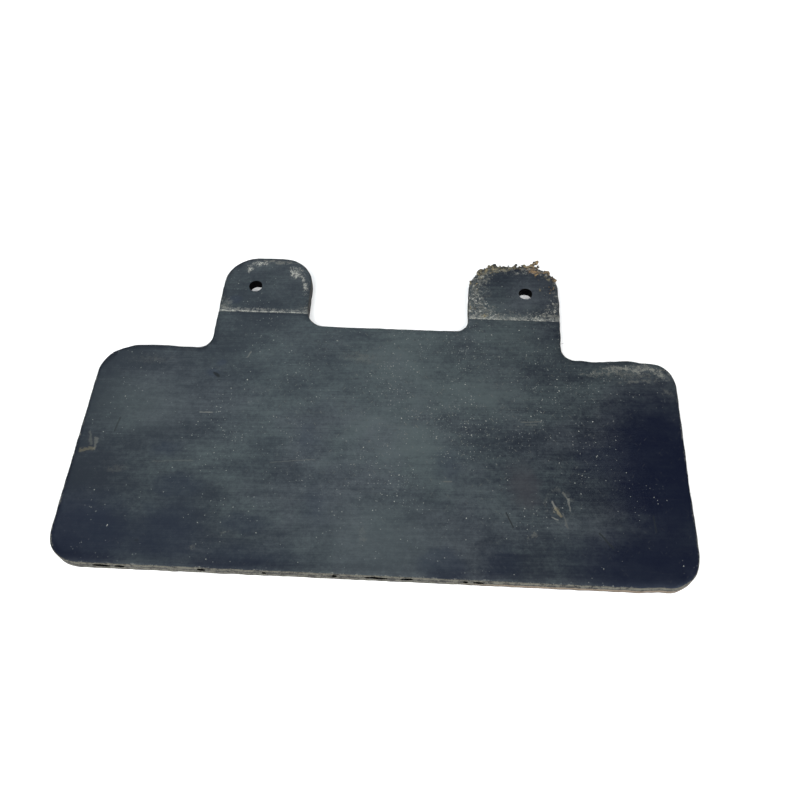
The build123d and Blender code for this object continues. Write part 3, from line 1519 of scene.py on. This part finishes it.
    def layer(self, blank: Object, layer: Layer) -> Object:
        """One layer, raised from the blank, with its holes, its worn arrises and rows to bend along.

        Args:
            blank: the flat blank.
            layer: which layer to make.

        Returns:
            The layer's closed mesh.
        """
        low, high = layer.span
        obj = copy_of(blank)
        obj.location.z = low
        settle(obj, layer.value)
        with editing(obj):
            pick_all()
            if layer is Layer.FABRIC_PLY:
                bpy.ops.mesh.inset(thickness=self.ply_setback, depth=0)
                bpy.ops.mesh.select_all(action="INVERT")
                bpy.ops.mesh.delete(type="FACE")
                pick_all()
            bpy.ops.mesh.extrude_region_move(TRANSFORM_OT_translate={"value": (0, 0, high - low)})
            pick_all()
            bpy.ops.mesh.normals_make_consistent(inside=False)
            rim = {Layer.FRONT_COVER: high, Layer.REAR_COVER: low}.get(layer)
            if rim is not None:
                pick(obj, "EDGE", level_with(rim, 2))
                bpy.ops.mesh.bevel(offset=self.worn_arris, segments=2, affect="EDGES")
        self._bore(obj)
        self._split(obj)
        self._rule(obj)
        self._settle(obj, high if layer is Layer.FRONT_COVER else None)
        return obj

    def _bore(self, obj: Object) -> None:
        """Bore the two bolt holes, which flare towards the back as punched ones do.

        Args:
            obj: the layer.
        """
        top = Layer.FRONT_COVER.span[1] + self.clearance
        tall = top + self.clearance
        drills = []
        for x in (-self.plan.bolt_x, self.plan.bolt_x):
            deselect()
            bpy.ops.mesh.primitive_cone_add(
                vertices=40,
                radius1=self.plan.bolt_radius + self.punch_flare,
                radius2=self.plan.bolt_radius,
                depth=tall,
                location=(x, 0, top - tall / 2),
            )
            drills.append(bpy.context.active_object)
        cut_away(obj, drills)

    def _split(self, obj: Object) -> None:
        """Open the slits where the covers have let go of the ply along the bottom edge.

        Args:
            obj: the layer.
        """
        cutters = []
        for x, length in self.slits:
            deselect()
            bpy.ops.mesh.primitive_uv_sphere_add(segments=20, ring_count=10, radius=1)
            cutter = bpy.context.active_object
            cutter.scale = (length / 2 * MM, self.slit_depth, self.slit_gape)
            cutter.location = (x * MM, self.plan.bottom, self.slit_height)
            cutter.rotation_euler.y = math.radians(3.0 if length > 8 else -2.0)
            settle(cutter, "slit")
            cutters.append(cutter)
        cut_away(obj, cutters)

    def _settle(self, obj: Object, face: float | None) -> None:
        """Let the sheet lie as a used one does: gently uneven, and pressed in at the crease.

        Args:
            obj: the layer.
            face: the height of the layer's front face, if it is the one pressed in.
        """
        if face is not None:
            with editing(obj):
                pick(obj, "VERT", lambda v: self._pressed(v.co, face))
                bpy.ops.transform.translate(
                    value=(0, 0, -self.press),
                    use_proportional_edit=True,
                    proportional_edit_falloff="SHARP",
                    proportional_size=2.0 * MM,
                )
        roughen(obj, "settling", self.unevenness_span, "Z", self.unevenness, 0.0)

    def _pressed(self, place: Vector, face: float) -> bool:
        """Whether a place is on the line that the bracket's edge pressed into the ears."""
        near = abs(place.y - self.plan.crease) < self.bend_step * 0.8
        return near and abs(place.x) > self.plan.ear_inner and place.z > face - TOUCH

    def _rule(self, obj: Object) -> None:
        """Cut rows and columns across the layer: close rows where it bends, wider ones elsewhere.

        Args:
            obj: the layer.
        """
        plan = self.plan
        rows, y = [], plan.bottom + self.grid_step
        while y < plan.ear_top:
            rows.append(y)
            beyond = abs(y - plan.crease) - self.bend_reach
            y += min(self.grid_step, max(self.bend_step, beyond))
        count = int(plan.half_width / self.grid_step)
        columns = [i * self.grid_step for i in range(-count, count + 1)]
        with editing(obj):
            for y in rows:
                self._cut_across((0, y, 0), (0, 1, 0))
            for x in columns:
                self._cut_across((x, 0, 0), (1, 0, 0))

    def _cut_across(self, place: Triple, across: Triple) -> None:
        """Cut the whole mesh in edit mode by a plane through a place."""
        pick_all()
        bpy.ops.mesh.bisect(plane_co=place, plane_no=across)

    def build(self) -> None:
        """Cut the blank and raise the three layers from it."""
        blank = self.blank()
        for layer in Layer:
            self.pieces[layer] = self.layer(blank, layer)
        bpy.data.objects.remove(blank)

    def fit(self) -> None:
        """Bake each layer's place and hide its CAD nodes, so that it stands for them."""
        for layer, piece in self.pieces.items():
            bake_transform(piece)
            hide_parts(*layer.nodes)
            layer.slot

    def dress(self, fx: Effects) -> None:
        """Give each layer its finish, with the cut edge round its rim.

        Args:
            fx: the shared effects.
        """
        edge = CutEdge().material(fx)
        # The bolt holes' walls: painted shade, near black and almost without shine.
        bore = CutEdge.plain("punched_bore", self.bore_painted_shade, self.bore_painted_shade, 0.03).material(fx)
        # The worn arrises: grey rubber with pale dust that is partly a painted highlight.
        arris = CutEdge.plain("worn_arris", self.arris_grey, self.arris_dust_and_highlight, CutEdge.shine).material(fx)
        # The slits' insides: painted shade, near black and without shine.
        slit = CutEdge.plain("open_slit", self.slit_painted_shade, self.slit_painted_shade, 0.0).material(fx)
        plain = {Layer.REAR_COVER: RubberFace("rear_rubber"), Layer.FABRIC_PLY: WovenPly()}
        for layer, piece in self.pieces.items():
            ready_to_dress(piece, *[finish.material(fx) for kind, finish in plain.items() if kind is layer])
            if layer is Layer.FRONT_COVER:
                for region in FRONT_REGIONS:
                    face = RubberFace(region.name, region.marks(), region.ear).material(fx)
                    finish_faces(piece, face, lambda f: region.holds(f.calc_center_median()))
            if layer is not Layer.FABRIC_PLY:
                finish_faces(piece, edge, lambda f: abs(f.normal.z) < self.face_tilt)
                finish_faces(piece, arris, lambda f: self.wall_tilt < abs(f.normal.z) < self.face_tilt)
            finish_faces(piece, bore, self._in_bore)
            finish_faces(piece, slit, self._in_slit)
            activate(piece)
            bpy.ops.object.shade_smooth_by_angle(angle=self.smooth_below)

    def _in_slit(self, face: bmesh.types.BMFace) -> bool:
        """Whether a face is inside one of the slits.

        Args:
            face: the face.

        Returns:
            Yes or no.
        """
        place = face.calc_center_median()
        across = any(abs(place.x / MM - x) < length / 2 for x, length in self.slits)
        deep = 0.15 * MM < place.y - self.plan.bottom < self.slit_depth
        return across and deep and abs(place.z - self.slit_height) < 1.05 * self.slit_gape

    def _in_bore(self, face: bmesh.types.BMFace) -> bool:
        """Whether a face is on the wall of a bolt hole.

        Args:
            face: the face.

        Returns:
            Yes or no.
        """
        place = face.calc_center_median()
        reach = math.hypot(abs(place.x) - self.plan.bolt_x, place.y)
        return abs(face.normal.z) < self.face_tilt and reach < 1.5 * self.plan.bolt_radius


# ---------------------------------------------------------------- dirt and threads


@dataclass(frozen=True)
class Clump:
    """A heap of crust: where it sits on the ear's rim, how much of it, how far out and how big its grains."""

    start: float
    end: float
    count: int
    out: Pair
    rise: Pair
    grain: Pair


@dataclass
class EarCrust:
    """The rust scale and soil baked on the top of the right ear."""

    plan: Plan
    voxel: float = 0.28 * MM
    grit_voxel: float = 0.2 * MM
    grit_size: Pair = (0.25, 0.6)
    grit_height: float = 6.45
    crag: float = 1.3 * MM
    cragginess: float = 0.7 * MM
    left_round: float = 18.0 * MM
    right_round: float = 16.6 * MM
    rim_inset: float = 1.2 * MM
    seed: int = 4
    clumps: tuple[Clump, ...] = (
        Clump(0.00, 0.20, 26, (-0.8, 0.5), (4.6, 6.6), (0.45, 0.9)),
        Clump(0.14, 0.34, 46, (-1.6, 1.1), (4.4, 7.0), (0.5, 1.15)),
        Clump(0.34, 0.56, 60, (-1.8, 1.2), (4.2, 7.1), (0.5, 1.2)),
        Clump(0.56, 0.72, 26, (-1.2, 0.9), (4.6, 6.9), (0.45, 1.0)),
        Clump(0.72, 1.00, 46, (-1.4, 1.0), (4.6, 6.9), (0.45, 1.1)),
    )
    finger: tuple[tuple[float, float, float, float], ...] = (
        *((78.0, 19.2, 6.3, 1.3), (79.2, 19.8, 6.6, 1.35), (80.3, 20.6, 6.8, 1.3), (81.3, 21.4, 7.0, 1.2)),
        *((82.4, 22.2, 7.2, 1.2), (83.2, 22.9, 7.3, 1.05), (81.2, 23.0, 7.0, 0.7), (76.6, 19.6, 6.4, 1.0)),
        *((76.0, 20.8, 6.6, 0.8), (83.9, 20.0, 6.4, 0.9)),
    )
    grit: tuple[tuple[float, float, float, int], ...] = (
        *((46.4, -10.5, 3.2, 16), (53.2, -16.2, 2.2, 14), (60, 15.6, 5.0, 16)),
        *((83, 15.4, 5.0, 20), (90, 5, 3.5, 8), (49, 6, 4, 8)),
    )
    pieces: list[Object] = field(default_factory=list)

    def rim(self, share: float) -> tuple[Vector, Vector]:
        """A point on the ear's top rim and the way out from it.

        Args:
            share: 0 at the left of the ear's top, 1 at the right.

        Returns:
            The point and the outward direction.
        """
        plan, left, right = self.plan, self.left_round, self.right_round
        top = plan.ear_top - self.rim_inset
        if 0.42 <= share < 0.58:
            ahead = (share - 0.42) / 0.16
            x = plan.ear_inner + left + ahead * (plan.ear_width - left - right)
            return Vector((x, top, 0)), Vector((0, 1, 0))
        if share < 0.42:
            turn, x, radius = 165 - 75 * share / 0.42, plan.ear_inner + left, left
        else:
            turn, x, radius = 90 - 65 * (share - 0.58) / 0.42, plan.ear_outer - right, right
        angle = math.radians(turn)
        out = Vector((math.cos(angle), math.sin(angle), 0))
        return Vector((x, top - radius, 0)) + out * radius, out

    def _grain(self, place: Vector, radius: float, rng: random.Random) -> Object:
        """One lump, squashed and turned at random.

        Args:
            place: its centre.
            radius: its size.
            rng: the seeded dice.

        Returns:
            The lump.
        """
        deselect()
        bpy.ops.mesh.primitive_ico_sphere_add(subdivisions=1, radius=radius, location=place)
        lump = bpy.context.active_object
        lump.scale = (rng.uniform(0.7, 1.3), rng.uniform(0.7, 1.3), rng.uniform(0.5, 0.9))
        lump.rotation_euler.z = rng.uniform(0, math.pi)
        return lump

    def _weld(self, lumps: list[Object], name: str, voxel: float) -> None:
        """Weld lumps into one rough piece.

        Args:
            lumps: the lumps.
            name: the piece's name.
            voxel: how fine the rough body is.
        """
        body = settle(joined(lumps), name)
        apply_modifier(body, "REMESH", mode="VOXEL", voxel_size=voxel)
        roughen(body, "crags", self.crag, "NORMAL", self.cragginess, 0.5)
        self.pieces.append(body)

    def build(self) -> None:
        """Heap the crust along the rim, with its finger-like crumb, and drop crumbs round the ear."""
        rng = random.Random(self.seed)
        lumps = []
        for clump in self.clumps:
            for _ in range(clump.count):
                point, out = self.rim(rng.uniform(clump.start, clump.end))
                place = point + out * rng.uniform(*clump.out) * MM
                place.z = rng.uniform(*clump.rise) * MM
                lumps.append(self._grain(place, rng.uniform(*clump.grain) * MM, rng))
        self._weld(lumps, "ear_crust", self.voxel)
        finger = [self._grain(Vector(place) * MM, size * MM, rng) for *place, size in self.finger]
        self._weld(finger, "ear_crumb", self.voxel)
        strewn = []
        for x, y, spread, count in self.grit:
            for _ in range(count):
                spot = (x + rng.gauss(0, spread * 0.5), y + rng.gauss(0, spread * 0.5))
                place = Vector((*spot, self.grit_height + rng.uniform(0, 0.25))) * MM
                inner, outer = self.plan.ear_inner + self.rim_inset, self.plan.ear_outer - self.rim_inset
                place.x = min(max(place.x, inner), outer)
                strewn.append(self._grain(place, rng.uniform(*self.grit_size) * MM, rng))
        self._weld(strewn, "ear_grit", self.grit_voxel)

    def dress(self, fx: Effects) -> None:
        """Give the crust its finish.

        Args:
            fx: the shared effects.
        """
        material = Crust().material(fx)
        for piece in self.pieces:
            ready_to_dress(piece, material)

    def fit(self) -> None:
        """Let the crust move with the ears."""
        for piece in self.pieces:
            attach(piece, "ears")


@dataclass(frozen=True)
class Thread:
    """A frayed end: where it leaves the edge, which way it points and how long it is, in millimetres."""

    x: float
    y: float
    heading: float
    length: float


@dataclass
class FrayedThreads:
    """The short ends of ply thread that stand out of the cut edge."""

    plan: Plan
    thickness: float = 0.16 * MM
    seed: int = 9
    root: float = 0.8 * MM
    steps: int = 5
    ends: tuple[Thread, ...] = (
        *(Thread(94.6, -31.7, 25, 2.6), Thread(94.4, -38.2, -20, 2.0), Thread(99.9, -44.0, 80, 2.2)),
        *(Thread(138.3, -43.6, 70, 1.8), Thread(152.4, -79.5, 10, 2.0), Thread(-101.5, -167.2, -80, 2.6)),
        *(Thread(152.5, -101.0, -30, 1.4), Thread(152.5, -118.0, 20, 1.5), Thread(121.0, -43.8, 110, 1.3)),
        *(Thread(-152.4, -92.0, 190, 1.2), Thread(-152.4, -71.0, 160, 1.0), Thread(152.3, -131.0, -12, 1.3)),
    )
    pieces: list[Object] = field(default_factory=list)

    def build(self) -> None:
        """Draw each end as a thin bent thread, then join them."""
        rng = random.Random(self.seed)
        self.pieces.append(joined([self._thread(end, rng) for end in self.ends]))
        self.pieces[0].name = "frayed_ends"

    def _thread(self, end: Thread, rng: random.Random) -> Object:
        """Draw one thin bent thread out of the ply.

        Args:
            end: where it is and how long.
            rng: the seeded dice.

        Returns:
            The thread.
        """
        low, high = Layer.FABRIC_PLY.span
        heading = math.radians(end.heading)
        reach = end.length * MM / self.steps
        flat = {"fill_type": "NGON", "rotation": (0, math.pi / 2, 0)}
        deselect()
        bpy.ops.mesh.primitive_circle_add(vertices=6, radius=self.thickness / 2, **flat)
        thread = settle(bpy.context.active_object, "thread")
        with editing(thread):
            bpy.ops.mesh.select_mode(type="FACE")
            pick_all()
            for _ in range(self.steps):
                bend = rng.uniform(-0.5, 0.5)
                step = (reach, bend * reach, rng.uniform(-0.2, 0.35) * reach)
                bpy.ops.mesh.extrude_region_move(TRANSFORM_OT_translate={"value": step})
            pick_all()
            bpy.ops.mesh.normals_make_consistent(inside=False)
        thread.rotation_euler.z = heading
        inward = Vector((math.cos(heading), math.sin(heading), 0)) * -self.root
        thread.location = Vector((end.x * MM, end.y * MM, (low + high) / 2 + 0.4 * MM)) + inward
        return settle(thread, "thread")

    def dress(self, fx: Effects) -> None:
        """Give the threads their finish.

        Args:
            fx: the shared effects.
        """
        ready_to_dress(self.pieces[0], FrayedThread().material(fx))

    def fit(self) -> None:
        """Let the threads move with the apron."""
        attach(self.pieces[0], "apron")


# ---------------------------------------------------------------- studio


@dataclass(frozen=True)
class Softbox:
    """A flat studio light that looks at a point."""

    name: str
    place: Triple
    target: Triple
    width: float
    depth: float
    watts: float
    tint: Triple = (1.0, 1.0, 1.0)

    def build(self) -> None:
        """Hang the light."""
        data = bpy.data.lights.new(self.name, "AREA")
        data.shape = "RECTANGLE"
        data.size = self.width
        data.size_y = self.depth
        data.energy = self.watts
        data.color = self.tint
        lamp = bpy.data.objects.new(self.name, data)
        bpy.context.scene.collection.objects.link(lamp)
        lamp.location = self.place
        lamp.rotation_euler = (Vector(self.target) - Vector(self.place)).to_track_quat("-Z", "Y").to_euler()


@dataclass(frozen=True)
class Studio:
    """A white floor, soft light all round and the camera."""

    camera_place: Triple = (0.03039, -0.29240, 0.36809)
    camera_turn: Triple = (31.417, 1.280, 3.210)
    lens: float = 36.86
    floor_half: float = 3.0
    sky: float = 0.17
    backdrop: float = 0.92
    sky_tint: Triple = (0.93, 0.97, 1.0)
    floor_white: Triple = (0.92, 0.92, 0.92)
    softboxes: tuple[Softbox, ...] = (
        Softbox("key_left", (-1.0, -1.5, 1.9), (0.0, -0.1, 0.0), 1.5, 1.5, 76.0),
        Softbox("key_right", (1.2, -1.2, 1.9), (0.0, -0.1, 0.0), 1.5, 1.5, 62.0),
        Softbox("middle", (-0.12, 0.58, 1.2), (0.0, -0.08, 0.0), 0.30, 0.80, 2.5, (0.90, 1.0, 1.03)),
        Softbox("left", (-0.62, 0.74, 1.2), (-0.02, -0.06, 0.0), 0.7, 0.5, 2.9, (0.90, 1.0, 1.03)),
    )

    def build(self) -> None:
        """Lay the floor, hang the lights and set up the camera."""
        scene = bpy.context.scene
        scene.view_settings.view_transform = "Standard"
        scene.world = self._sky()
        for softbox in self.softboxes:
            softbox.build()
        self._floor()
        data = bpy.data.cameras.new("camera")
        data.lens = self.lens
        data.sensor_width = 36.0
        data.clip_start = 0.01
        camera = bpy.data.objects.new("camera", data)
        scene.collection.objects.link(camera)
        camera.location = self.camera_place
        camera.rotation_euler = Euler([math.radians(a) for a in self.camera_turn], "XYZ")
        scene.camera = camera

    def _sky(self) -> bpy.types.World:
        """Light the studio softly all round, with a pale backdrop behind the flap.

        Returns:
            The world.
        """
        world = bpy.data.worlds.new("sky")
        world.use_nodes = True
        pen = Pen(world.node_tree)
        seen = pen.node("LightPath").outputs["Is Camera Ray"]
        strength = pen.scaled(seen, self.backdrop - self.sky, self.sky)
        light = pen.fed("Background", {"Color": self.sky_tint, "Strength": strength})
        pen.fed("OutputWorld", {"Surface": light.outputs["Background"]})
        return world

    def _floor(self) -> None:
        """Lay the white floor under the flap."""
        deselect()
        bpy.ops.mesh.primitive_plane_add(size=2 * self.floor_half, location=(0, 0, 0))
        floor = bpy.context.active_object
        floor.name = "floor"
        material = bpy.data.materials.new("white_floor")
        material.use_nodes = True
        pen = Pen(material.node_tree)
        shader = pen.fed("BsdfPrincipled", {"Roughness": 0.6, "Base Color": self.floor_white})
        pen.fed("OutputMaterial", {"Surface": shader.outputs["BSDF"]})
        floor.data.materials.append(material)


def main() -> None:
    """Build the studio and the flap, piece by piece."""
    logging.basicConfig(level=logging.INFO, format="%(name)s: %(message)s")
    plan = Plan.from_frame()
    fx = Effects()
    Studio().build()
    for part in (Sheet(plan), EarCrust(plan), FrayedThreads(plan)):
        part.build()
        part.dress(fx)
        part.fit()
        made = part.pieces.values() if isinstance(part.pieces, dict) else part.pieces
        for piece in made:
            log.info("%s: %d faces", piece.name, len(piece.data.polygons))


if __name__ == "__main__":
    main()
